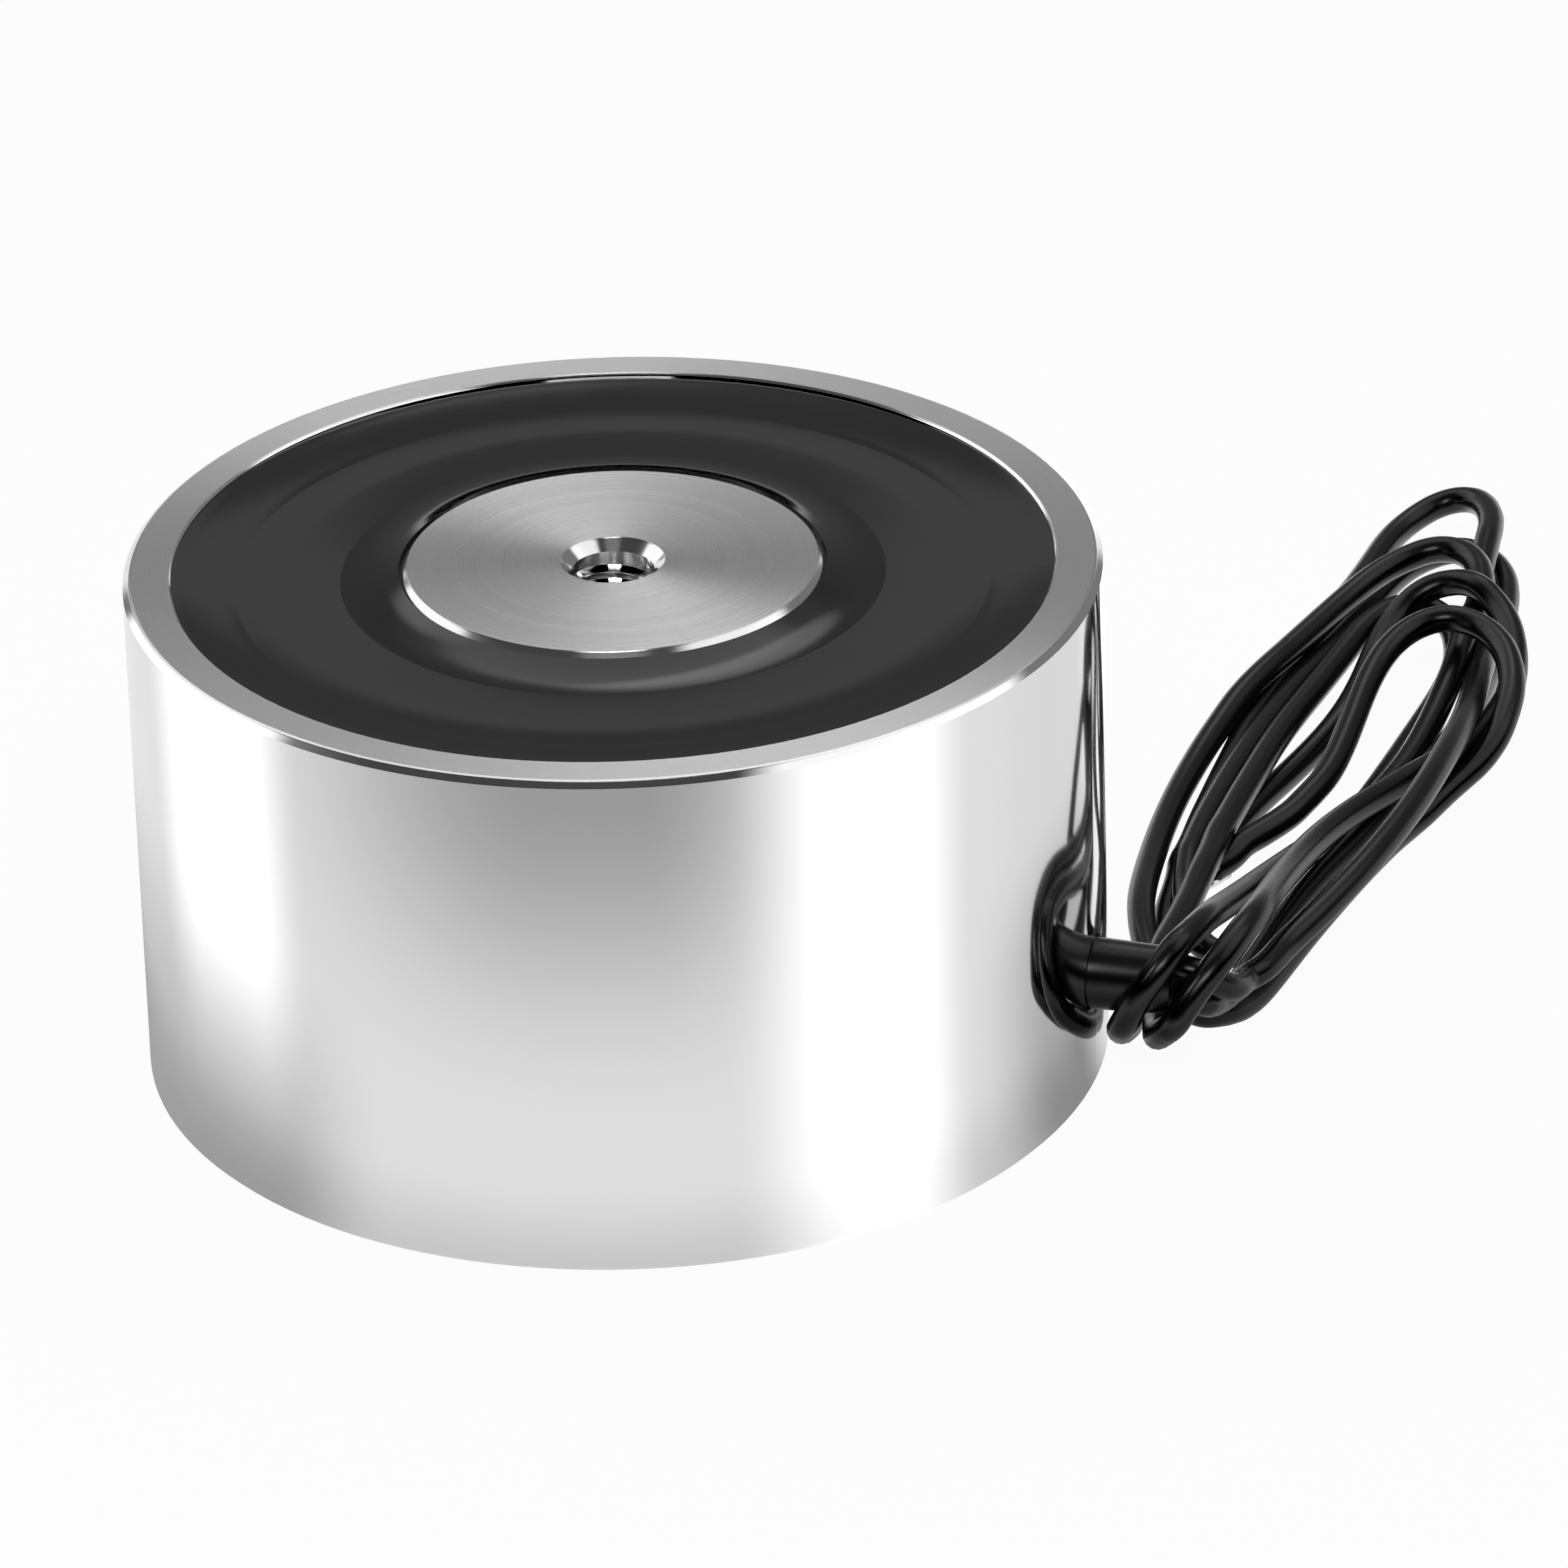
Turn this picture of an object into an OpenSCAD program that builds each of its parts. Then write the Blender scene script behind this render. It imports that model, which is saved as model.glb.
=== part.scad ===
// Round holding electromagnet: a steel pot with a coil cast into it, pole face up.
// The origin is the centre of its back, +Z goes up to the pole face and +X out along the leads.

/* [Pot] */
// Diameter of the pot
body_d = 80; // [70:1:100]
// Height of the pot
body_h = 44; // [38:1:60]
// Width of the pole ring, which is the pot's wall
ring_w = 3.9; // [3:0.1:6]
// Thickness of the pot's base
base_t = 6; // [5:0.5:10]
// Chamfer round the outside of the pole face
top_chamfer = 0.5; // [0.3:0.1:1]
// Width of the shallow break between the pole face and that chamfer
top_break_w = 0.2; // [0.1:0.05:0.4]
// Fall of that break over its width
top_break_fall = 0.07; // [0.03:0.01:0.15]
// Edge break round the inside of the pole ring
mouth_chamfer = 0.2; // [0.1:0.05:0.3]
// Edge break round the back
back_chamfer = 0.4; // [0.2:0.1:0.8]

/* [Core] */
// Diameter of the pole core
core_d = 35; // [30:0.5:38]
// Bevel round the core's face
core_bevel = 0.7; // [0.3:0.1:1]
// Diameter of the core's spigot, which is pressed into the base
spigot_d = 22; // [16:0.5:26]
// Diameter of the tapped hole at the thread's crests
bore_d = 6.8; // [5:0.1:8.5]
// Width of the countersink at each end of the tapped hole
bore_lead_in = 0.9; // [0.4:0.1:1.5]

/* [Coil] */
// Wall of the coil former's tube
former_wall = 1.2; // [0.8:0.1:2]
// Thickness of the former's flanges
flange_t = 1; // [0.8:0.1:2]
// Slots in the upper flange's rim, through which the compound runs down
flange_slots = 4; // [2:1:8]
// Width of each slot
flange_slot_w = 5; // [3:0.5:8]
// Radial room between the taped coil and the pot's wall, where the leads are joined
coil_room = 4.3; // [4.2:0.1:6]
// Thickness of the tape round the coil
tape_t = 0.3; // [0.1:0.05:0.6]

/* [Compound] */
// Depth of compound over the former's upper flange
cover_t = 3.4; // [2:0.1:8]
// How far the flat of the compound lies below the pole face
recess = 1.2; // [0.6:0.1:2]
// How far below the pole face the compound meets the walls
meniscus_edge = 0.3; // [0.2:0.05:0.5]
// Width of the meniscus at the core
inner_meniscus_w = 4.8; // [2:0.1:6]
// Width of the meniscus at the pole ring
outer_meniscus_w = 5.1; // [2:0.1:6]

/* [Leads] */
// Diameter of one lead
lead_d = 2.4; // [1.8:0.1:2.6]
// Diameter of the lead hole in the pot
lead_hole_d = 6.2; // [5.8:0.1:8]
// Chamfer round the lead hole
hole_chamfer = 0.3; // [0.1:0.1:0.6]
// How far the sleeve stands out of the pot
sleeve_out = 7; // [4:0.5:9]
// Least wall of the sleeve round the leads, at its tip
sleeve_wall = 0.25; // [0.2:0.05:0.5]
// Rounding of the sleeve's tip
sleeve_round = 0.2; // [0.1:0.05:0.25]
// Length of each lead past its knee, where it turns to run beside the coil
lead_tail = 7; // [4:0.5:8]
// Diameter of the sleeve on each splice
splice_d = 3; // [2.6:0.1:3.1]
// Length of the sleeve on each splice
splice_l = 8; // [5:0.5:9]
// How far that sleeve laps over the lead
splice_lap = 3; // [1:0.5:3.5]
// Height of the hank of leads as it lies
hank_h = 7; // [4:0.5:9]

/* [Clearances] */
// Radial gap of the spigot in the base
spigot_clear = 0.02; // [0.01:0.01:0.05]
// Radial gap between the core and the former
former_clear = 0.3; // [0.1:0.05:0.5]
// Radial gap between the former's flanges and the pot
flange_clear = 0.6; // [0.3:0.1:1]
// Radial gap of the sleeve in its hole
sleeve_clear = 0.1; // [0.05:0.05:0.2]
// Gap between the lower flange and the edge of the lead hole
hole_clear = 0.1; // [0.1:0.1:1]
// Web between the two leads in their sleeve
lead_web = 0.2; // [0.1:0.1:0.4]
// Radial gap of each lead in the sleeve
lead_clear = 0.02; // [0.01:0.01:0.05]

/* [Hidden] */

// Cuts run this far past the faces they open
past = 1;

body_r = body_d / 2;
wall_r = body_r - ring_w;
core_r = core_d / 2;
spigot_r = spigot_d / 2;
bore_mouth_d = bore_d + 2 * bore_lead_in;

former_in_r = core_r + former_clear;
former_out_r = former_in_r + former_wall;
flange_r = wall_r - flange_clear;
tape_r = wall_r - coil_room;
coil_r = tape_r - tape_t;
former_top = body_h - recess - cover_t;
coil_low = base_t + flange_t;
coil_top = former_top - flange_t;

flat_z = body_h - recess;
edge_z = body_h - meniscus_edge;

exit_z = coil_low + hole_clear + lead_hole_d / 2;
sleeve_root_d = lead_hole_d - 2 * sleeve_clear;
sleeve_tip_d = 2 * lead_d + lead_web + 2 * (sleeve_wall + lead_clear);
mouth_x = body_r + sleeve_out;
lead_rise = (lead_d + lead_web) / 2;

// Inside the pot each lead turns at a knee midway between coil and wall, and runs to its splice
// along a chord of the circle through the knee, so that both ends lie equally far from the wall
run_r = wall_r - coil_room / 2;
run_l = lead_tail - splice_lap + splice_l;
run_a = asin(run_l / 2 / run_r);

// The leads leave their sleeve one above the other and turn back along the pot. These are their
// free stretches, from the sleeve's mouth to where they lie down on the hank.
lead_a_route = [
    [47, 0, 11.5], [48.6, 0, 11.5], [51.6, 1, 11.4], [53.6, 3.8, 11], [54.6, 8, 10.3],
    [55, 12.5, 9.5], [55.4, 17, 8.7]
];
lead_b_route = [
    [47, 0, 8.9], [48.6, 0, 8.9], [50.8, 1, 8.8], [52, 3.8, 8.6], [52.2, 7.5, 8.4],
    [51.9, 11, 8.3], [51.5, 14.5, 8.3]
];
// The hank's outline as it lies beside the pot: places and radii of the rounds that it is drawn
// round, from the folds under the sleeve to the open loops at its far end
hank_rounds = [
    [[46.6, 11.4], 6], [[46.6, 44], 12.4], [[50, 67], 13.6], [[49.6, 102], 9.8]
];

pole_grey = [0.62, 0.62, 0.62];
plate_grey = [0.82, 0.82, 0.83];
compound_black = [0.1, 0.1, 0.1];
lead_black = [0.06, 0.06, 0.06];

round_fn = 128;
small_fn = 48;
hull_fn = 32;
tube_sides = 8;

module along_x(x) {
    translate([x, 0, exit_z]) rotate([0, 90, 0]) children();
}

// Something that lies along a lead's run beside the coil, from the knee on
module along_run(start) {
    translate([run_r, 0, exit_z]) rotate([0, 0, run_a]) translate([0, start, 0])
        rotate([-90, 0, 0]) children();
}

module shell() {
    color(plate_grey) difference() {
        rotate_extrude($fn = round_fn) polygon([
            [spigot_r + spigot_clear, 0],
            [body_r - back_chamfer, 0],
            [body_r, back_chamfer],
            [body_r, body_h - top_chamfer],
            [body_r - top_chamfer, body_h - top_break_fall],
            [body_r - top_chamfer - top_break_w, body_h],
            [wall_r + mouth_chamfer, body_h],
            [wall_r, body_h - mouth_chamfer],
            [wall_r, base_t],
            [spigot_r + spigot_clear, base_t]
        ]);
        along_x(wall_r - past) cylinder(d = lead_hole_d, h = ring_w + 2 * past, $fn = small_fn);
        along_x(body_r - hole_chamfer)
            cylinder(d1 = lead_hole_d, d2 = lead_hole_d + 4 * hole_chamfer,
                h = 2 * hole_chamfer, $fn = small_fn);
    }
}

module core() {
    color(pole_grey) difference() {
        rotate_extrude($fn = round_fn) polygon([
            [0, 0],
            [spigot_r, 0],
            [spigot_r, base_t],
            [core_r, base_t],
            [core_r, body_h - core_bevel],
            [core_r - core_bevel, body_h],
            [0, body_h]
        ]);
        translate([0, 0, -past]) cylinder(d = bore_d, h = body_h + 2 * past, $fn = small_fn);
        translate([0, 0, body_h - bore_lead_in])
            cylinder(d1 = bore_d, d2 = bore_mouth_d + 2 * past, h = bore_lead_in + past,
                $fn = small_fn);
        translate([0, 0, -past])
            cylinder(d1 = bore_mouth_d + 2 * past, d2 = bore_d, h = bore_lead_in + past,
                $fn = small_fn);
    }
}

// Slots in the rim of the former's upper flange, as a ring of blocks
module flange_slots() {
    for (i = [0 : flange_slots - 1])
        rotate([0, 0, 360 * (i + 0.5) / flange_slots])
            translate([coil_r, -flange_slot_w / 2, coil_top])
                cube([flange_r - coil_r, flange_slot_w, flange_t]);
}

module bobbin() {
    color("ivory") difference() {
        rotate_extrude($fn = round_fn) polygon([
            [former_in_r, base_t],
            [flange_r, base_t],
            [flange_r, coil_low],
            [former_out_r, coil_low],
            [former_out_r, coil_top],
            [flange_r, coil_top],
            [flange_r, former_top],
            [former_in_r, former_top]
        ]);
        flange_slots();
    }
}

module winding() {
    color("chocolate") rotate_extrude($fn = round_fn)
        translate([former_out_r, coil_low]) square([coil_r - former_out_r, coil_top - coil_low]);
}

module coil_tape() {
    color("goldenrod") rotate_extrude($fn = round_fn)
        translate([coil_r, coil_low]) square([tape_t, coil_top - coil_low]);
}

// Fillet that the compound draws up a wall: the corner under a circle that touches the flat
module meniscus(r, w, rise) {
    arc_r = (w * w + rise * rise) / (2 * rise);
    difference() {
        translate([r, flat_z]) square([w, rise]);
        translate([r + w, flat_z + arc_r]) circle(r = arc_r, $fn = round_fn);
    }
}

module compound_profile() {
    polygon([
        [core_r, former_top],
        [flange_r, former_top],
        [flange_r, coil_top],
        [tape_r, coil_top],
        [tape_r, coil_low],
        [flange_r, coil_low],
        [flange_r, base_t],
        [wall_r, base_t],
        [wall_r, flat_z],
        [core_r, flat_z]
    ]);
    meniscus(core_r, inner_meniscus_w, edge_z - flat_z);
    translate([wall_r, 0]) mirror([1, 0]) meniscus(0, outer_meniscus_w, edge_z - flat_z);
}

module potting() {
    color(compound_black) difference() {
        union() {
            rotate_extrude($fn = round_fn) compound_profile();
            flange_slots();
        }
        lead_end_a();
        lead_end_b();
        splice_sleeve_a();
        splice_sleeve_b();
    }
}

module exit_sleeve() {
    color(lead_black) difference() {
        along_x(0) rotate_extrude($fn = small_fn) polygon([
            [0, wall_r],
            [sleeve_root_d / 2, wall_r],
            [sleeve_root_d / 2, body_r],
            [sleeve_tip_d / 2, mouth_x - sleeve_round],
            [sleeve_tip_d / 2 - sleeve_round, mouth_x],
            [0, mouth_x]
        ]);
        for (side = [-1, 1])
            translate([0, 0, side * lead_rise]) along_x(wall_r - past)
                cylinder(d = lead_d + 2 * lead_clear, h = mouth_x - wall_r + 2 * past,
                    $fn = small_fn);
    }
}

// The inner end of a lead: straight through the sleeve, round its knee and along its run
module lead_end() {
    along_x(run_r) cylinder(d = lead_d, h = mouth_x - run_r, $fn = small_fn);
    along_x(run_r) sphere(d = lead_d, $fn = small_fn);
    along_run(0) cylinder(d = lead_d, h = lead_tail, $fn = small_fn);
}

// The first lead lies above the second in the sleeve, and they part inside the pot
module first_side() {
    translate([0, 0, lead_rise]) children();
}

module second_side() {
    translate([0, 0, -lead_rise]) mirror([0, 1, 0]) children();
}

module lead_end_a() {
    color(lead_black) first_side() lead_end();
}

module lead_end_b() {
    color(lead_black) second_side() lead_end();
}

// The sleeve on a splice laps over the lead's end and covers the joint past it
module splice_sleeve() {
    difference() {
        along_run(lead_tail - splice_lap) cylinder(d = splice_d, h = splice_l, $fn = small_fn);
        along_run(0) cylinder(d = lead_d, h = lead_tail, $fn = small_fn);
    }
}

module splice_sleeve_a() {
    color("white") first_side() splice_sleeve();
}

module splice_sleeve_b() {
    color("white") second_side() splice_sleeve();
}

function unit(v) = v / norm(v);

// Direction of the route at point i, from its neighbours
function heading(route, i) =
    unit(route[min(i + 1, len(route) - 1)] - route[max(i - 1, 0)]);

// Ring of tube corners round point i, square to the route
function ring_at(route, i, r) =
    let (
        ahead = heading(route, i),
        across = unit(cross([0, 0, 1], ahead)),
        upright = cross(ahead, across)
    )
    [for (k = [0 : tube_sides - 1])
        let (a = 360 * k / tube_sides)
        route[i] + r * (cos(a) * across + sin(a) * upright)];

module tube(route, r) {
    rings = len(route);
    corners = [for (i = [0 : rings - 1]) each ring_at(route, i, r)];
    sides = [for (i = [0 : rings - 2], k = [0 : tube_sides - 1])
        let (n = (k + 1) % tube_sides, a = i * tube_sides, b = a + tube_sides)
        [a + k, b + k, b + n, a + n]];
    near_cap = [for (k = [0 : tube_sides - 1]) k];
    far_cap = [for (k = [tube_sides - 1 : -1 : 0]) (rings - 1) * tube_sides + k];
    polyhedron(corners, concat(sides, [near_cap, far_cap]), convexity = 4);
}

module lead_a() {
    color(lead_black) tube(lead_a_route, lead_d / 2);
}

module lead_b() {
    color(lead_black) tube(lead_b_route, lead_d / 2);
}

module lead_hank() {
    color(lead_black) linear_extrude(hank_h) hull()
        for (bend = hank_rounds)
            translate(bend[0]) circle(r = bend[1], $fn = hull_fn);
}

shell();
core();
bobbin();
winding();
coil_tape();
potting();
exit_sleeve();
lead_end_a();
lead_end_b();
splice_sleeve_a();
splice_sleeve_b();
lead_a();
lead_b();
lead_hank();
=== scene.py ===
# %% [markdown]
# # A round holding electromagnet
# The part is a turned steel pot with a pole core in its middle, a coil between them under a cast
# compound, and two black leads that lie in a hank at its side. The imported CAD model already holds
# every solid at its true size. This script gives those solids their finish, lays the leads, cuts
# the thread and lights the whole.

# %% Load the frame
import math

import bpy
import numpy as np
from mathutils import Matrix, Vector


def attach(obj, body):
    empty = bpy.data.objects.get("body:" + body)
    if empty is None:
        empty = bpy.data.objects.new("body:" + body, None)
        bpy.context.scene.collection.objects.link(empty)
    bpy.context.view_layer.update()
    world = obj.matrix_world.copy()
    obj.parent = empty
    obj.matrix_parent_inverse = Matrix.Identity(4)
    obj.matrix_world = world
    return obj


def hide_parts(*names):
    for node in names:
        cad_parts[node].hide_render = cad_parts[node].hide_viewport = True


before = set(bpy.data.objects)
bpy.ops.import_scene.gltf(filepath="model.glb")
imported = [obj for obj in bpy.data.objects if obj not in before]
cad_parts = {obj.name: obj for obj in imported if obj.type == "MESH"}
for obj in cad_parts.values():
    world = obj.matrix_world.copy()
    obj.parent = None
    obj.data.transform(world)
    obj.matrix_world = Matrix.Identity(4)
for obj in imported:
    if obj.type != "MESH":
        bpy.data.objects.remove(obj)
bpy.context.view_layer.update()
MM = 0.001
print("nodes:", ", ".join(sorted(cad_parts)))

# %% [markdown]
# ## The camera
# The photograph was taken from a long way off with a long lens, so the pot's verticals stay almost
# parallel. The camera's place and direction were found by matching the rim's ellipse, the foot and
# the bore. Blender wants the camera's own axes as the columns of a matrix: right, up and backwards.

# %% The camera
LOOK = Vector((-0.23608, 0.85772, -0.45670)).normalized()
EYE = Vector((213.885, -726.350, 411.633)) * MM
ROLL = math.radians(-1.6151)

level_right = LOOK.cross(Vector((0, 0, 1))).normalized()
level_up = level_right.cross(LOOK)
right = math.cos(ROLL) * level_right + math.sin(ROLL) * level_up
up = math.cos(ROLL) * level_up - math.sin(ROLL) * level_right

camera = bpy.data.objects.new("camera", bpy.data.cameras.new("camera"))
camera.data.sensor_width = 36
camera.data.lens = 236.8
camera.matrix_world = Matrix.Translation(EYE) @ Matrix((right, up, -LOOK)).transposed().to_4x4()
camera.data.clip_start = 0.01
bpy.context.scene.collection.objects.link(camera)
bpy.context.scene.camera = camera
print("camera at", tuple(round(v, 3) for v in EYE), "looking along", tuple(LOOK))

# %% [markdown]
# ## The leads
# Two leads of 2.4 mm leave the sleeve one above the other. They are wound into a loose hank that
# lies beside the pot, and its near folds hook round the sleeve, so the hank can't slide away. A
# hank like this can't be drawn point by point, since its strands would cut through each other.
# So each lead is first laid roughly, turn by turn, and is then let settle.
#
# In the photograph only the line of sight of a strand is certain, not its height. A row below says
# where a strand seems to touch the floor, and how high it lies: the helper `seen` slides it along
# its line of sight to that height. Rows in `true` lists are plain places.

# %% Helpers for rough routes
LEAD_D = 2.4
LEAD_R = LEAD_D / 2
SIGHT = np.array(LOOK)


def seen(*rows):
    """Rows of x and y where a strand's picture falls on the floor, and its real height."""
    return [
        tuple(np.array((x, y, LEAD_R)) + SIGHT * (z - LEAD_R) / SIGHT[2]) for x, y, z in rows
    ]


def true(*rows):
    """Rows of real places."""
    return list(rows)


# %% [markdown]
# The upper lead makes three turns. The first loop reaches furthest, the second lies inside it, and
# the third lies on top. Between them the lead folds back twice, and both near folds go under the
# sleeve and up round it, the first one close to the pot.

# %% The upper lead, laid roughly
upper_lead = (
    true(
        (47, 0, 11.5), (48.4, 0, 11.3), (49.8, 0.5, 10.3), (50.7, 2.2, 9), (51.2, 5, 8),
        (51.7, 8.7, 7.4), (52.9, 12.2, 7.8), (54.2, 15.4, 8.5)
    )
    # Right side of the first turn, up to the furthest loop and back on the floor
    + seen(
        (52.2, 34, 9), (53.4, 41, 9.4), (54.6, 49, 9.5), (55.4, 55, 9.4), (55.7, 61, 9),
        (56.4, 69, 7.4), (56.2, 75, 5.2), (55.8, 80, 4.2), (55, 86, 3.6), (53.6, 91, 3.6),
        (52.4, 97, 3.6), (51.6, 104, 3.5), (50.9, 109.6, 3), (48.9, 113, 2.3), (46.3, 111.6, 1.6),
        (44.7, 107, 1.2), (43.6, 102, 1.2), (43.5, 96.5, 1.2), (42.2, 90, 1.2), (40.4, 79, 1.2),
        (39, 70, 1.2), (39, 57, 1.2), (38.8, 49, 1.2), (39.4, 38, 1.2), (40.4, 26, 1.2),
        (41.3, 18, 1.2)
    )
    # Inner fold round the sleeve
    + true(
        (41.5, 12, 1.2), (41.8, 7.5, 2.2), (41.9, 3.5, 3.8), (42.1, 0.2, 5.6), (42.7, -2.5, 7.3),
        (43.6, -4.2, 9.2), (45, -4.5, 11.2), (46.5, -3.4, 13.3), (47.6, -0.5, 14.3), (48, 4, 13.5),
        (48, 10, 11.6), (48.3, 17, 9.4)
    )
    # Right side of the second turn, its loop and its left side next to the pot
    + seen(
        (47, 39, 6.4), (49.4, 43.5, 4.6), (51.6, 48, 3.8), (53, 53, 3.6), (53.8, 58, 3.6),
        (54, 64, 3.6), (54, 71, 3.8), (54.4, 78, 4.2), (54.2, 85, 4.6), (53.2, 92, 5),
        (52, 97, 5), (50.5, 100.5, 5), (47.8, 102.3, 4.8), (45.6, 99.5, 4.6), (43.4, 94, 4.2),
        (40.7, 85, 3.6), (38.2, 74, 2.6), (36.3, 62, 1.8), (35.6, 47, 1.6), (36.4, 34, 2.6)
    )
    # Outer fold round the sleeve, over the inner one's lead
    + true(
        (38.2, 23, 3.6), (40.2, 17.5, 3.8), (42.4, 12.5, 2.8), (43.6, 8.5, 2.1), (44.1, 5, 2.7),
        (44.6, 1.8, 4.2), (45.4, -0.6, 5.8), (46.8, -2.3, 7.6), (48.2, -2.8, 9.8),
        (49.8, -1.6, 12.3), (51.4, 2, 13.9), (52, 7, 13.2), (51.4, 13, 11.6)
    )
    # The loop on top, and the tail that goes under the left side of the hank
    + seen(
        (48, 42, 8), (50, 48.5, 6.4), (52.4, 53.4, 5.5), (54.8, 57.2, 5.2), (57, 61, 4.8),
        (58.8, 66, 4), (59.5, 72, 3.6), (59.2, 78, 3.8), (58.1, 82.5, 4.4), (56.2, 88, 5.2),
        (53, 92.6, 5.8), (50.4, 95.4, 6), (48.7, 94.8, 6), (47.6, 91.5, 5.2), (47, 86.5, 4.3),
        (47, 80, 3.7), (47, 74.5, 3.3), (46.9, 70, 2.9), (46.4, 65, 2.2), (45.4, 60, 1.6),
        (44, 54, 1.2),
        (42.6, 48, 1.2), (41.5, 42, 1.2), (41, 37, 1.2)
    )
)

# %% [markdown]
# The lower lead makes two turns and a half. It runs under the upper one, lies flat on the floor in
# its far loop, and folds back twice in front of the pot, the second time on top of the first.

# %% The lower lead, laid roughly
lower_lead = (
    true(
        (47, 0, 8.9), (48.2, 0.1, 8.6), (49, 1.3, 7.7), (49.2, 3.8, 6.6), (49.5, 7, 5.6),
        (49.8, 11, 4.8), (50.2, 18, 4), (51, 27, 3.7), (52.8, 37, 3.7), (55, 46, 3.7),
        (57, 55, 3.6), (58, 64, 3), (57.6, 74, 2), (57, 84, 1.2)
    )
    # The loop that lies flat under the furthest one, and its left side
    + seen(
        (56, 92, 1.2), (55, 96.5, 1.2), (53.5, 100.5, 1.2), (51.4, 102.6, 1.2), (49, 102.5, 1.2),
        (47, 99, 1.2), (45.8, 94, 1.2), (44.8, 88, 1.2), (43, 80, 1.4), (41, 71, 2.2),
        (40, 63, 2.9), (39.5, 51, 3.4), (39.5, 42, 3.4), (39.8, 36, 3.4), (41, 32, 3)
    )
    # First near fold, hidden by the others, and the loop inside the others
    + true(
        (42, 28.5, 2.4), (42.3, 24.8, 1.8), (43.7, 21.8, 1.2), (46, 20.8, 1.2), (48.3, 22, 1.2),
        (49.4, 25, 1.2), (49.3, 29, 1.2), (49.3, 32, 1.2), (49.6, 36, 1.2), (50.4, 41, 1.2),
        (51.7, 48, 1.2), (52.8, 58, 1.2), (53.8, 70, 1.2),
        (54, 79, 1.4), (52.6, 85.4, 2.2), (49.6, 87.4, 2.8), (47.2, 84.5, 3.5), (46.4, 79.7, 3.5)
    )
    # Left side, second near fold, the right side on the floor and the last loop with its tail
    + seen(
        (43.2, 73, 3.5), (41.8, 65, 3.5), (41, 56, 3.5), (40.4, 49, 3.5), (40.3, 41, 3.5),
        (40.4, 35, 4), (40.8, 30, 4.6), (41.2, 26, 4.8)
    )
    + true(
        (42.6, 13, 5.2), (43, 9.4, 5.2), (44.6, 6.6, 4.6), (46.8, 6.8, 3.4), (48.6, 9.6, 2.3),
        (49.6, 13.4, 1.5)
    )
    + seen(
        (50.2, 18.4, 1.2), (51, 22.6, 1.2), (52, 28, 1.2), (53.2, 34, 1.2), (54.4, 40.5, 1.2),
        (55.6, 47.5, 1.2), (57.1, 54, 1.6), (58.7, 60, 3.2), (59.7, 66, 5.6), (59.6, 72, 6.8),
        (58.5, 77, 7.2), (56.6, 82.4, 7.4), (53.4, 86.8, 7.4), (50.4, 88, 7.4), (48.2, 84.7, 7.4),
        (47.4, 79, 7), (47.1, 74, 6.3), (47.1, 67, 5.6), (47.3, 61, 5),
        (47.6, 56, 4.5), (46.4, 50, 4), (44.6, 45, 3.6), (42.6, 41, 3), (40.8, 37.4, 2.2)
    )
)
print("rough rows:", len(upper_lead), "and", len(lower_lead))

# %% [markdown]
# ### Settling
# The rows are turned into a smooth line with a point every 2 mm, by a curve through them all. Then
# the points are moved in small rounds, as a cloth solver moves its own: each falls a little, is
# drawn back to its line of sight, keeps its distance from the next one, evens out its bend, and is
# pushed off whatever it touches, which is the floor, the pot, the sleeve or another strand. The two
# cords of a hank rest on each other in this way, and none is cut.


# %% A smooth line through the rows
def smooth_line(rows, step=2.0):
    """Points a step apart on the centripetal curve through the rows."""
    p = np.array(rows, float)
    p = np.vstack([2 * p[0] - p[1], p, 2 * p[-1] - p[-2]])
    t = np.linspace(0, 1, 12, endpoint=False)[:, None]
    line = []
    for p0, p1, p2, p3 in zip(p, p[1:], p[2:], p[3:]):
        a, b, c = (math.sqrt(np.linalg.norm(v)) for v in (p1 - p0, p2 - p1, p3 - p2))
        start = ((p1 - p0) / a - (p2 - p0) / (a + b) + (p2 - p1) / b) * b
        end = ((p2 - p1) / b - (p3 - p1) / (b + c) + (p3 - p2) / c) * b
        line.append(
            (2 * t**3 - 3 * t**2 + 1) * p1 + (t**3 - 2 * t**2 + t) * start
            + (3 * t**2 - 2 * t**3) * p2 + (t**3 - t**2) * end
        )
    line = np.vstack(line + [p[-2:-1]])
    along = np.r_[0, np.cumsum(np.linalg.norm(np.diff(line, axis=0), axis=1))]
    even = np.linspace(0, along[-1], round(along[-1] / step) + 1)
    return np.stack([np.interp(even, along, line[:, k]) for k in range(3)], -1)


# %% What the strands must keep clear of
GAP = LEAD_D + 0.04
POT_R = 40
MOUTH_X, EXIT_Z, SLEEVE_R = 47, 10.2, 3.0


def clear_of_solids(p):
    """Pushes points out of the sleeve, the pot and the floor."""
    off = p[:, 1:] - (0, EXIT_Z)
    far = np.linalg.norm(off, axis=1)
    inside = (p[:, 0] < MOUTH_X + LEAD_R / 2) & (far < SLEEVE_R + LEAD_R)
    p[inside, 1:] = (0, EXIT_Z) + off[inside] * ((SLEEVE_R + LEAD_R) / far[inside])[:, None]
    far = np.linalg.norm(p[:, :2], axis=1)
    inside = far < POT_R + LEAD_R + 0.05
    p[inside, :2] *= ((POT_R + LEAD_R + 0.05) / far[inside])[:, None]
    p[:, 2] = np.maximum(p[:, 2], LEAD_R)


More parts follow.
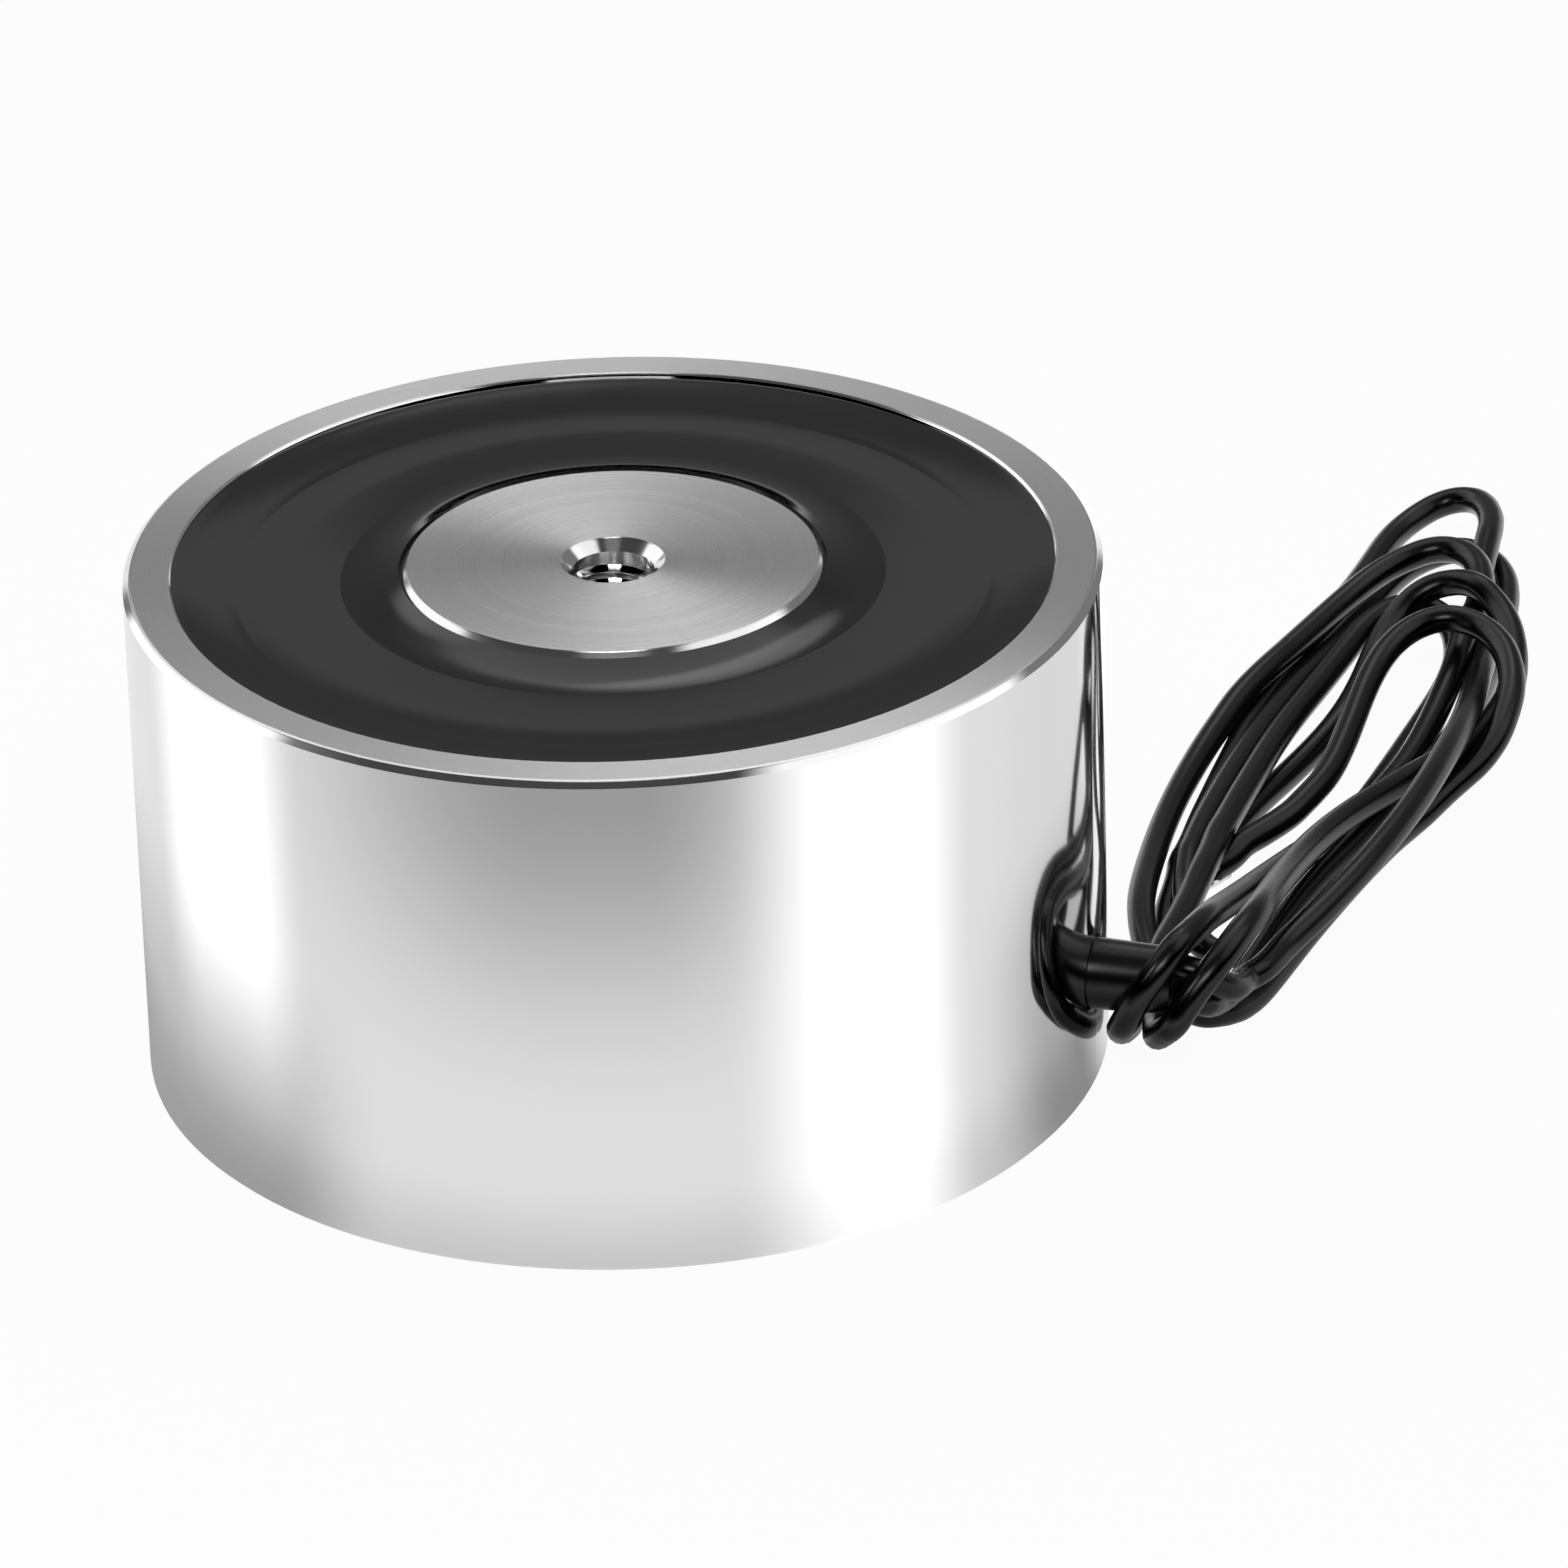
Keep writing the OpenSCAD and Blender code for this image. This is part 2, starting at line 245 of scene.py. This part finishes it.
def clear_of_strands(p, i, j):
    """Pushes apart the pairs of points that are closer than a lead is thick."""
    v = p[i] - p[j]
    far2 = (v * v).sum(1)
    touch = far2 < GAP**2
    i, j, v, far = i[touch], j[touch], v[touch], np.sqrt(far2[touch]) + 1e-9
    push = v * (0.5 * (GAP - far) / far)[:, None]
    move, count = np.zeros_like(p), np.ones(len(p))
    for k, sign in ((i, 1), (j, -1)):
        np.add.at(move, k, sign * push)
        np.add.at(count, k, 1)
    p += move / np.maximum(count - 1, 1)[:, None]


# %% Let the leads settle
def settle(leads, rounds=400, fall=0.004, pull=0.08, stiffness=0.33):
    """Settles several lines together and returns them in the same order."""
    lines = [smooth_line(rows) for rows in leads]
    ends = np.cumsum([0] + [len(line) for line in lines])
    p = np.vstack(lines)
    target = p.copy()
    lead = np.repeat(range(len(lines)), [len(line) for line in lines])
    place = np.arange(len(p))
    held = place - ends[lead] < 3
    free = ~held
    bends = free & (place - ends[lead] > 5) & (ends[lead + 1] - place > 6)
    joined = lead[1:] == lead[:-1]
    spacing = np.linalg.norm(np.diff(p, axis=0), axis=1)
    neighbours = (lead[:, None] == lead) & (abs(place[:, None] - place) <= 3)
    i, j = np.nonzero(np.triu(~neighbours, 1))
    for _ in range(rounds):
        p[free, 2] -= fall
        off = target - p
        off -= (off @ SIGHT)[:, None] * SIGHT
        p[free] += pull * off[free]
        for _ in range(3):
            e = p[1:] - p[:-1]
            far = np.linalg.norm(e, axis=1)
            e *= (0.5 * (far - spacing) / far * joined)[:, None]
            p[:-1] += e
            p[1:] -= e
            p[held] = target[held]
        for reach in (1, 3):
            curl = np.zeros_like(p)
            curl[reach:-reach] = (p[2 * reach:] + p[:-2 * reach]) / 2 - p[reach:-reach]
            even = curl.copy()
            even[reach:-reach] -= (curl[2 * reach:] + curl[:-2 * reach]) / 2
            p[bends] += stiffness / reach * even[bends]
        for _ in range(2):
            clear_of_strands(p, i, j)
            clear_of_solids(p)
            p[held] = target[held]
    v = p[i] - p[j]
    print("closest strands", round(float(np.sqrt((v * v).sum(1).min())), 2), "mm")
    return [p[a:b] for a, b in zip(ends, ends[1:])]


settled = settle([upper_lead, lower_lead])

# %% [markdown]
# ### The leads as curves
# A free cord stays a curve: one open spline through the settled points, with a round bevel for
# its jacket. The spline's handles are automatic, which keeps each fold round between its points.
# The bevel is multiplied by each knot's radius, which Blender also counts in the curve's box, so
# the knots hold the jacket's radius and the bevel is 1.


# %% Draw the leads
def lay_lead(name, points):
    """A curve with a round jacket through points in millimetres; returns it and its length."""
    data = bpy.data.curves.new(name, "CURVE")
    data.dimensions = "3D"
    data.resolution_u = 4
    data.bevel_depth = 1
    data.bevel_resolution = 5
    data.use_fill_caps = True
    spline = data.splines.new("BEZIER")
    spline.bezier_points.add(len(points) - 1)
    for knot, place in zip(spline.bezier_points, points):
        knot.co = Vector(place) * MM
        knot.radius = LEAD_R * MM
        knot.handle_left_type = knot.handle_right_type = "AUTO"
    piece = bpy.data.objects.new(name, data)
    bpy.context.scene.collection.objects.link(piece)
    length = float(np.linalg.norm(np.diff(points, axis=0), axis=1).sum()) * MM
    print(name, "is", round(length, 3), "m long, in", len(points), "points")
    return piece, length


lead_names = {"a": "lead_cord_upper", "b": "lead_cord_lower"}
leads = {
    side: lay_lead(lead_names[side], points) for side, points in zip(lead_names, settled)
}

# %% [markdown]
# ### Bare ends
# The leads of a coil like this are sold with their ends stripped and tinned. Each tail gets a short
# stub of bare strands, dipped in solder. It is modelled from a cylinder along its tail: rings are
# cut into it, and their turn from end to end gives the lay of the strands.

# %% Helpers for hand modelling
def pick(piece, mode, wanted):
    """Selects, in edit mode, the vertices or faces that a test on their middle wants."""
    bpy.ops.object.mode_set(mode="OBJECT")
    bpy.context.tool_settings.mesh_select_mode = (mode == "VERT", False, mode == "FACE")
    for part in (piece.data.vertices, piece.data.edges, piece.data.polygons):
        part.foreach_set("select", [False] * len(part))
    if mode == "VERT":
        for v in piece.data.vertices:
            v.select = wanted(v.co)
    else:
        for f in piece.data.polygons:
            f.select = wanted(f.center)
    bpy.ops.object.mode_set(mode="EDIT")


def start(add, name, **how):
    """Adds a primitive with nothing else selected and leaves it in edit mode."""
    if bpy.context.object and bpy.context.object.mode != "OBJECT":
        bpy.ops.object.mode_set(mode="OBJECT")
    bpy.ops.object.select_all(action="DESELECT")
    add(**how)
    piece = bpy.context.object
    piece.name = piece.data.name = name
    bpy.ops.object.mode_set(mode="EDIT")
    return piece


def done(piece, smooth=30):
    """Back to object mode, with the piece's place in its mesh and round faces smooth."""
    bpy.ops.object.mode_set(mode="OBJECT")
    bpy.ops.object.transform_apply(location=True, rotation=True, scale=True)
    bpy.ops.object.shade_smooth_by_angle(angle=math.radians(smooth))
    print(piece.name, "has", len(piece.data.polygons), "faces")
    return piece


def use(piece, kind, **settings):
    """Adds a modifier with its settings and applies it."""
    if piece.mode != "OBJECT":
        bpy.ops.object.mode_set(mode="OBJECT")
    modifier = piece.modifiers.new(kind.lower(), kind)
    for name, value in settings.items():
        setattr(modifier, name, value)
    bpy.ops.object.modifier_apply(modifier=modifier.name)


# %% A stripped and tinned end
BARE_L, BARE_R, BARE_RINGS, BARE_SIDES = 4.0, 0.55, 8, 14
TIP_INSET, TIP_LIFT = 0.15, 0.3


def bare_end(name, points):
    """A tinned stub that goes on from the last point of a lead."""
    tip, before = Vector(points[-1]), Vector(points[-3])
    along = (tip - before).normalized()
    along.z = 0
    along.normalize()
    stub = start(
        bpy.ops.mesh.primitive_cylinder_add, name, vertices=BARE_SIDES, radius=BARE_R * MM,
        depth=BARE_L * MM, location=(0, 0, BARE_L / 2 * MM)
    )
    for ring in range(1, BARE_RINGS):
        bpy.ops.mesh.select_all(action="SELECT")
        bpy.ops.mesh.bisect(
            plane_co=(0, 0, BARE_L * MM * ring / BARE_RINGS), plane_no=(0, 0, 1)
        )
    # Every other vertex round the stub is drawn in, which leaves seven strands
    pick(stub, "VERT", lambda co: round(math.atan2(co.y, co.x) / math.tau * BARE_SIDES) % 2 == 1)
    bpy.ops.transform.resize(value=(0.8, 0.8, 1), center_override=(0, 0, 0))
    pick(stub, "FACE", lambda co: co.z > (BARE_L - 0.01) * MM)
    bpy.ops.mesh.inset(thickness=TIP_INSET * MM)
    bpy.ops.transform.translate(value=(0, 0, TIP_INSET * MM))
    use(stub, "SIMPLE_DEFORM", deform_method="TWIST", deform_axis="Z", angle=math.radians(150))
    use(stub, "SUBSURF", levels=1, render_levels=1)
    stub.rotation_mode = "QUATERNION"
    stub.rotation_quaternion = along.to_track_quat("Z", "Y")
    stub.location = (tip + Vector((0, 0, BARE_R - tip.z + TIP_LIFT))) * MM
    return done(stub, 60)


stubs = {
    side: bare_end(lead_names[side].replace("cord", "bare_end"), points)
    for side, points in zip(lead_names, settled)
}

# %% [markdown]
# Each lead stands for the closed solids that hold its place in the CAD model: its own free stretch,
# and the hank that both leads share, and these are hidden. The lead and its bare end hang from the
# part's root.

for side, (cord, length) in leads.items():
    exit_at = [value * MM for value in settled["ab".index(side)][0]]
    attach(cord, "root")
    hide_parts("lead_" + side, "lead_hank")
    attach(stubs[side], "root")
    [stubs[side], "lead_end_" + side] + ["exit_sleeve"] * (side == "a")
    print(cord.name, "leaves the sleeve at", [round(v, 4) for v in exit_at])

# %% [markdown]
# ## The thread
# The core has a tapped hole for the screw that holds the magnet. The CAD model has the plain hole
# at the thread's outer diameter, so the ridge is added here: one triangular tooth, turned up round
# the hole by a Screw modifier, as a tap cuts it. The tooth's root lies just inside the metal.

# %% The thread's ridge
BORE_R, PITCH, TOOTH = 3.4, 1.25, 0.42
THREAD_LOW, THREAD_HIGH = 1.6, 42.6

turns = int((THREAD_HIGH - THREAD_LOW) / PITCH)
thread = start(
    bpy.ops.mesh.primitive_circle_add, "thread_ridge", vertices=4, radius=0.5 * PITCH * MM,
    fill_type="NOTHING", rotation=(math.pi / 2, 0, 0),
    location=((BORE_R + 0.04) * MM, 0, (THREAD_LOW + PITCH / 2) * MM)
)
bpy.ops.object.mode_set(mode="OBJECT")
bpy.ops.object.transform_apply(location=True, rotation=True, scale=True)
root = (BORE_R + 0.04) * MM
pick(thread, "VERT", lambda co: co.x > root + 0.1 * MM)
bpy.ops.mesh.delete(type="VERT")
pick(thread, "VERT", lambda co: co.x < root - 0.1 * MM)
bpy.ops.transform.translate(value=((0.5 * PITCH - TOOTH) * MM, 0, 0))
bpy.ops.mesh.bevel(offset=0.09 * MM, affect="VERTICES", segments=2)
use(
    thread, "SCREW", axis="Z", screw_offset=PITCH * MM, iterations=turns, steps=56,
    render_steps=56, use_merge_vertices=False, use_smooth_shade=True
)
bpy.ops.object.mode_set(mode="EDIT")
bpy.ops.mesh.select_all(action="SELECT")
bpy.ops.mesh.remove_doubles(threshold=0.0005 * MM)
bpy.ops.mesh.normals_make_consistent(inside=True)
done(thread, 50)
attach(thread, "root")
print("the thread has", turns, "turns")

# %% [markdown]
# ## Finishes
# Every finish is one Principled shader and a few nodes. What varies over a surface comes from the
# place on it, read as Object coordinates, which are the part's own millimetres here because every
# piece sits at the origin. A value wraps a socket, so shader sums read as plain arithmetic.


# %% Shader sums
class Value:
    """A socket that can be added, multiplied and so on."""

    def __init__(self, finish, socket):
        self.finish, self.socket = finish, socket

    def sum(self, operation, *others):
        return self.finish.node(
            "ShaderNodeMath", {"operation": operation}, dict(enumerate((self,) + others))
        )

    def __add__(self, other):
        return self.sum("ADD", other)

    def __mul__(self, other):
        return self.sum("MULTIPLY", other)

    def __sub__(self, other):
        return self.sum("SUBTRACT", other)

    def __rsub__(self, other):
        return self * -1 + other

    def __truediv__(self, other):
        return self.sum("DIVIDE", other)

    def __pow__(self, other):
        return self.sum("POWER", other)

    __radd__, __rmul__ = __add__, __mul__

    def over(self, low, high):
        """0 below low and 1 above high, with a soft step between them."""
        return self.finish.node(
            "ShaderNodeMapRange", {"interpolation_type": "SMOOTHSTEP"},
            {"Value": self, "From Min": low, "From Max": high}
        )


class Nodes:
    """A node tree whose nodes all come from one method."""

    def __init__(self, tree):
        self.tree = tree

    def node(self, kind, settings, inputs, output=0):
        """Adds a node, sets it, and feeds it with numbers or links; returns an output."""
        node = self.tree.nodes.new(kind)
        for name, value in settings.items():
            setattr(node, name, value)
        for name, value in inputs.items():
            if isinstance(value, Value):
                self.tree.links.new(value.socket, node.inputs[name])
            else:
                node.inputs[name].default_value = value
        return node if output is None else Value(self, node.outputs[output])

    def along(self, vector, direction):
        """How far a vector points along a direction."""
        return self.node(
            "ShaderNodeVectorMath", {"operation": "DOT_PRODUCT"}, {0: vector, 1: direction}, 1
        )

    def grey(self, value):
        """A neutral colour from a number or a value."""
        if not isinstance(value, Value):
            return (value, value, value, 1)
        return self.node(
            "ShaderNodeCombineColor", {}, {"Red": value, "Green": value, "Blue": value}
        )


class Finish(Nodes):
    """A material with one Principled shader, measured in millimetres."""

    def __init__(self, name, **shader):
        self.material = bpy.data.materials.new(name)
        self.material.use_nodes = True
        super().__init__(self.material.node_tree)
        self.shader = self.tree.nodes["Principled BSDF"]
        for socket, value in shader.items():
            self.shader.inputs[socket.replace("_", " ")].default_value = value
        place = self.node("ShaderNodeTexCoord", {}, {}, "Object")
        self.place = self.node(
            "ShaderNodeVectorMath", {"operation": "SCALE"}, {"Vector": place, "Scale": 1000}
        )
        apart = self.node("ShaderNodeSeparateXYZ", {}, {"Vector": self.place}, None)
        self.x, self.y, self.z = (Value(self, apart.outputs[k]) for k in range(3))
        self.r = (self.x * self.x + self.y * self.y) ** 0.5

    def at(self, x, y, z):
        return self.node("ShaderNodeCombineXYZ", {}, {"X": x, "Y": y, "Z": z})

    def noise(self, scale, detail=2.0, place=None, roughness=0.5):
        return self.node(
            "ShaderNodeTexNoise", {},
            {"Vector": place or self.place, "Scale": scale, "Detail": detail,
             "Roughness": roughness}
        )

    def bump(self, height, distance):
        """Distance is the height in millimetres of a full step of the height value."""
        return self.node("ShaderNodeBump", {}, {"Height": height, "Distance": distance * MM})

    def set(self, **sockets):
        for name, value in sockets.items():
            socket = self.shader.inputs[name.replace("_", " ")]
            if isinstance(value, Value):
                self.tree.links.new(value.socket, socket)
            else:
                socket.default_value = value
        return self.material


# %% [markdown]
# ### Nickel plate on the pot
# The pot's side is polished before it is plated, so it is a mirror. Its pole ring is ground flat
# afterwards and stays satin, because a thick bright plate there would weaken the magnet. One
# material holds both, parted by height. The ring's grinding marks run round, so their noise is
# read along the radius alone.

# %% The pot's plate
pot = Finish("nickel_plate", Metallic=1.0, Anisotropic=0.8, Anisotropic_Rotation=0.25)
ring = pot.z.over(43.85, 43.95)
marks = pot.noise(6.0, 4.0, pot.at(pot.r, 0, 0), 0.7)
haze = pot.noise(0.08, 2.0)
pot_plate = pot.set(
    Base_Color=pot.grey(0.86 - ring * 0.08),
    Roughness=0.05 + haze * 0.03 + ring * (0.17 + marks * 0.1),
    Normal=pot.bump(marks * ring, 0.01),
)

# %% [markdown]
# ### The turned pole face
# The core's face is turned on a lathe with a fine feed. Each pass leaves a groove too small to see
# alone, and together they pull highlights out into bright sectors across the grooves. The grooves
# are a fast noise along the radius, on the face alone, and the bore's wall is smoother.

# %% The core's steel
steel = Finish("turned_steel", Metallic=1.0, Anisotropic=0.85, Anisotropic_Rotation=0.25)
grooves = steel.noise(5.0, 4.0, steel.at(steel.r, 0.3, 0), 0.8)
streaks = steel.noise(1.4, 3.0, steel.at(steel.r, 4.0, 0), 0.6)
face = steel.z.over(43.9, 43.97)
pole_face = steel.set(
    Base_Color=steel.grey(0.78 + (streaks - 0.5) * face * 0.12),
    Roughness=0.14 + face * (0.06 + grooves * 0.12),
    Normal=steel.bump(grooves * face, 0.012),
)

# %% [markdown]
# ### The cast compound
# The coil is cast in with a black two-part resin. It sets glossy, and its surface is never quite
# flat: it starts to rise towards both walls long before it meets them. The CAD model has a flat
# with two rounded rises, so the bump adds the long shallow start of each and eases the outer one.
# The resin is darker than the light that it reflects, so its colour is nearly black.

# %% The resin
resin = Finish("cast_resin", IOR=1.5)
swirl = resin.noise(0.06, 2.0)
# Where the shallow rises start, inwards and outwards, and where the solid's outer one starts
INNER_START, OUTER_START, SOLID_START = 30, 26.5, 31
inward, outward, eased = (
    step.sum("MAXIMUM", 0) ** 2
    for step in (resin.r * -1 + INNER_START, resin.r - OUTER_START, resin.r - SOLID_START)
)
pool = inward * 0.00175 + outward * 0.00525 - eased * 0.034
compound = resin.set(
    Base_Color=resin.grey(0.005 + swirl * 0.004),
    Roughness=0.07 + resin.noise(0.3, 2.0) * 0.04,
    Normal=resin.bump(resin.noise(0.12, 1.0) * 0.004 + pool, 1.0),
)

# %% [markdown]
# ### Black jackets
# The leads have a soft black jacket with a satin skin, and the sleeve is moulded from the same
# kind of material. Both are smooth, with a faint unevenness that keeps the highlights soft.


# %% Jackets and sleeve
def black_jacket(name, base, rough):
    jacket = Finish(name, Specular_IOR_Level=0.3, IOR=1.5)
    grain = jacket.noise(1.2, 2.0)
    return jacket.set(
        Base_Color=jacket.grey(base + jacket.noise(0.3, 2.0) * base * 0.5),
        Roughness=rough + grain * 0.05,
        Normal=jacket.bump(grain, 0.003),
    )


lead_jacket = black_jacket("lead_jacket", 0.002, 0.24)
sleeve = black_jacket("sleeve_rubber", 0.003, 0.26)

# %% [markdown]
# ### Finishes inside the pot
# Nobody sees the coil, but anyone who cuts the part open does: enamelled copper laid in rows, a
# pale moulded former, amber tape and blue shrink sleeves over the joints.

# %% Inner finishes
copper = Finish("enamelled_copper", Metallic=1.0)
rows = copper.node(
    "ShaderNodeTexWave", {"bands_direction": "Z"}, {"Vector": copper.place, "Scale": 0.35}
)
# The colour runs from the wire's own copper on the turns to a painted shade in the grooves between
# them, where the bump is low.
coil_wire = copper.set(
    Base_Color=copper.node(
        "ShaderNodeMix", {"data_type": "RGBA"},
        {"Factor": rows, "A": (0.25, 0.06, 0.02, 1), "B": (0.72, 0.27, 0.11, 1)}, 2
    ),
    Roughness=0.28 + rows * 0.1,
    Normal=copper.bump(rows, 0.3),
)


def plain_moulding(name, dark, pale, rough):
    moulding = Finish(name)
    cloud = moulding.noise(0.4, 3.0)
    colour = moulding.node(
        "ShaderNodeMix", {"data_type": "RGBA"}, {"Factor": cloud, "A": dark, "B": pale}, 2
    )
    return moulding.set(
        Base_Color=colour, Roughness=rough + cloud * 0.1,
        Normal=moulding.bump(moulding.noise(3.0, 2.0), 0.01)
    )


former = plain_moulding("former_nylon", (0.62, 0.57, 0.45, 1), (0.72, 0.68, 0.56, 1), 0.45)
tape = plain_moulding("amber_tape", (0.5, 0.22, 0.03, 1), (0.62, 0.3, 0.05, 1), 0.25)
splice = plain_moulding("shrink_sleeve", (0.02, 0.05, 0.2, 1), (0.03, 0.08, 0.3, 1), 0.4)
tin = Finish("tinned_strands", Metallic=1.0)
tinned = tin.set(
    Base_Color=tin.grey(0.6 + tin.noise(1.5, 2.0) * 0.2), Roughness=0.25,
    Normal=tin.bump(tin.noise(3.0, 2.0), 0.02)
)

# %% Give every piece its finish
FINISH_OF = {
    "shell": pot_plate, "core": pole_face, "bobbin": former, "winding": coil_wire,
    "coil_tape": tape, "potting": compound, "exit_sleeve": sleeve, "lead_end_a": lead_jacket,
    "lead_end_b": lead_jacket, "splice_sleeve_a": splice, "splice_sleeve_b": splice,
    "thread_ridge": pole_face, "lead_cord_upper": lead_jacket, "lead_cord_lower": lead_jacket,
    "lead_bare_end_upper": tinned, "lead_bare_end_lower": tinned
}
for name, material in FINISH_OF.items():
    piece = bpy.data.objects[name]
    if not piece.data.materials:
        piece.data.materials.append(material)
    for k in range(len(piece.data.materials)):
        piece.data.materials[k] = material
print(len(FINISH_OF), "pieces have their finish")

# %% [markdown]
# ## Floor, backdrop and light
# The part stands on a white floor in a white room, as for a catalogue. The floor takes the part's
# shadow, and a camera ray sees it nearly white. A polished pot shows its surroundings more than
# itself, so the floor carries a painted reflection for the pot to mirror: painted light at both
# sides, painted shade in front, a painted shadow of the pot close by at the left, and painted
# shade round the pot's base. These painted shades are seen by glossy rays alone, so the floor
# stays plain. Each is set by its distance from the pot's axis and by the side of the pot that
# mirrors it: a place at some bearing shows on the pot about half as far round, and less than that
# when it lies close. Bearings start at the front, where the photographer stands, and grow to the
# photographer's right.

# %% The floor
FRONT, RIGHT = (0.265, -0.964, 0), (0.964, 0.265, 0)
floor = start(bpy.ops.mesh.primitive_plane_add, "floor", size=6)
done(floor)
paper = Finish("white_paper", Roughness=0.9, Specular_IOR_Level=0.0)
front, side = paper.along(paper.place, FRONT), paper.along(paper.place, RIGHT)
bearing = paper.node("ShaderNodeMath", {"operation": "ARCTAN2"}, {0: side, 1: front})
facing = bearing / (2 - paper.r ** -1 * 40)
# Painted reflection for the pot's mirror: the white patches are painted light and the dark ones are
# painted shade.
painted_front_shade = facing.over(-0.95, -0.15) * (1 - facing.over(0.05, 0.48)) * paper.r.over(60, 125)
painted_right_light = facing.over(0.2, 0.5) * (1 - facing.over(0.62, 0.82)) + facing.over(1.25, 1.5)
painted_right_shade = facing.over(0.78, 1.12) * (1 - paper.r.over(64, 86) * 0.8)
painted_left_light = (1 - facing.over(-0.88, -0.7)) * facing.over(-1.32, -1.08) * paper.r.over(46, 82)
# A painted shadow of the pot, close by at its left.
painted_left_shadow = (1 - facing.over(-0.8, -0.5)) * (1 - paper.r.over(44, 82))
# Painted shade round the pot's base.
painted_foot_shade = 1 - paper.r.over(40, 54)
painted_reflection = (
    0.9 - painted_front_shade * 0.575 + painted_right_light * 0.6 - painted_right_shade * 0.42 + painted_left_light * 0.6
    - painted_left_shadow * 0.33 - painted_foot_shade * 0.2
)
SEEN_WHITE, PAINTED_REFLECTION_WEIGHT = 0.95, 0.85
ray = paper.node("ShaderNodeLightPath", {}, {}, None)
by_camera, by_gloss = (Value(paper, ray.outputs["Is " + k + " Ray"]) for k in ("Camera", "Glossy"))
# Camera rays see the floor evenly white, and glossy rays see the painted reflection.
glow = by_camera * SEEN_WHITE + by_gloss * painted_reflection * PAINTED_REFLECTION_WEIGHT
paper.set(
    Base_Color=paper.grey(0.85 * (1 - by_camera * SEEN_WHITE - by_gloss * PAINTED_REFLECTION_WEIGHT)),
    Emission_Color=paper.grey(glow), Emission_Strength=1.0
)
floor.data.materials.append(paper.material)

# %% [markdown]
# A soft lamp hangs in front of the part, above the photographer. It draws the long highlights on
# the leads, and nothing on the pot mirrors it.


# %% The lamps
def soft_lamp(name, front, right, height, size, power):
    """A square lamp placed in metres to the front, the right and up, and aimed at the part."""
    data = bpy.data.lights.new(name, "AREA")
    data.shape = "RECTANGLE"
    data.size, data.size_y = size
    data.energy = power
    lamp = bpy.data.objects.new(name, data)
    lamp.location = front * Vector(FRONT) + right * Vector(RIGHT) + Vector((0, 0, height))
    lamp.rotation_euler = (-lamp.location).to_track_quat("-Z", "Y").to_euler()
    bpy.context.scene.collection.objects.link(lamp)
    return lamp


soft_lamp("lamp_front", 0.87, 0.0, 0.85, (0.6, 0.3), 4.7)

# %% [markdown]
# ### The room
# The room is dim, darker in front and paler low down behind the part, and soft boxes hang in it:
# one at each side, one high behind the part, and a small one lower behind it, which draws the
# bright sectors on the turned face. A grey card stands just where the flat of the compound mirrors
# the room, so the flat is lighter than its rising edges. Each box is a direction in front, right
# and up, how near to it a ray has to point for the box's soft rim and for its full light, and its
# brightness.

# %% The white room
SOFT_BOXES = {
    "left": (-0.53, -0.68, 0.50, 0.885, 0.93, 1.05),
    "right": (0.0, 0.66, 0.75, 0.88, 0.94, 1.05),
    "high_behind": (-0.45, 0.0, 0.89, 0.90, 0.95, 0.8),
    "sector": (-0.736, 0.103, 0.669, 0.985, 0.995, 1.0),
}
world = bpy.data.worlds.new("white_room")
bpy.context.scene.world = world
world.use_nodes = True
room = Nodes(world.node_tree)
toward = room.node("ShaderNodeTexCoord", {}, {}, "Generated")
ahead, aside, up = (room.along(toward, axis) for axis in (FRONT, RIGHT, (0, 0, 1)))
DIM, LOW, HIGH, IN_FRONT, LOW_BEHIND, CARD = 0.2, 0.2, 0.2, -0.34, 0.5, 0.22
light = (
    DIM + (1 - up.over(0.0, 0.12)) * LOW + up.over(0.52, 0.66) * HIGH
    + ahead.over(-0.35, 0.1) * IN_FRONT
    + (1 - up.over(0.02, 0.1)) * (1 - ahead.over(-0.6, -0.3)) * LOW_BEHIND
)
for front, right, high, rim, full, brightness in SOFT_BOXES.values():
    box = Vector(FRONT) * front + Vector(RIGHT) * right + Vector((0, 0, high))
    light = light + room.along(toward, tuple(box.normalized())).over(rim, full) * brightness
card = (
    aside.over(-0.09, -0.07) * (1 - aside.over(0.032, 0.048))
    * up.over(0.412, 0.424) * (1 - up.over(0.489, 0.501)) * (1 - ahead.over(-0.2, 0))
)
light = light + card * CARD
ray = room.node("ShaderNodeLightPath", {}, {}, None)
by_camera = Value(room, ray.outputs["Is Camera Ray"])
sky = room.tree.nodes["Background"]
sky.inputs["Color"].default_value = (1, 1, 1, 1)
room.tree.links.new((light + by_camera * (1 - light)).socket, sky.inputs["Strength"])
bpy.context.scene.view_settings.view_transform = "Standard"

# %% Update the view layer
bpy.context.view_layer.update()
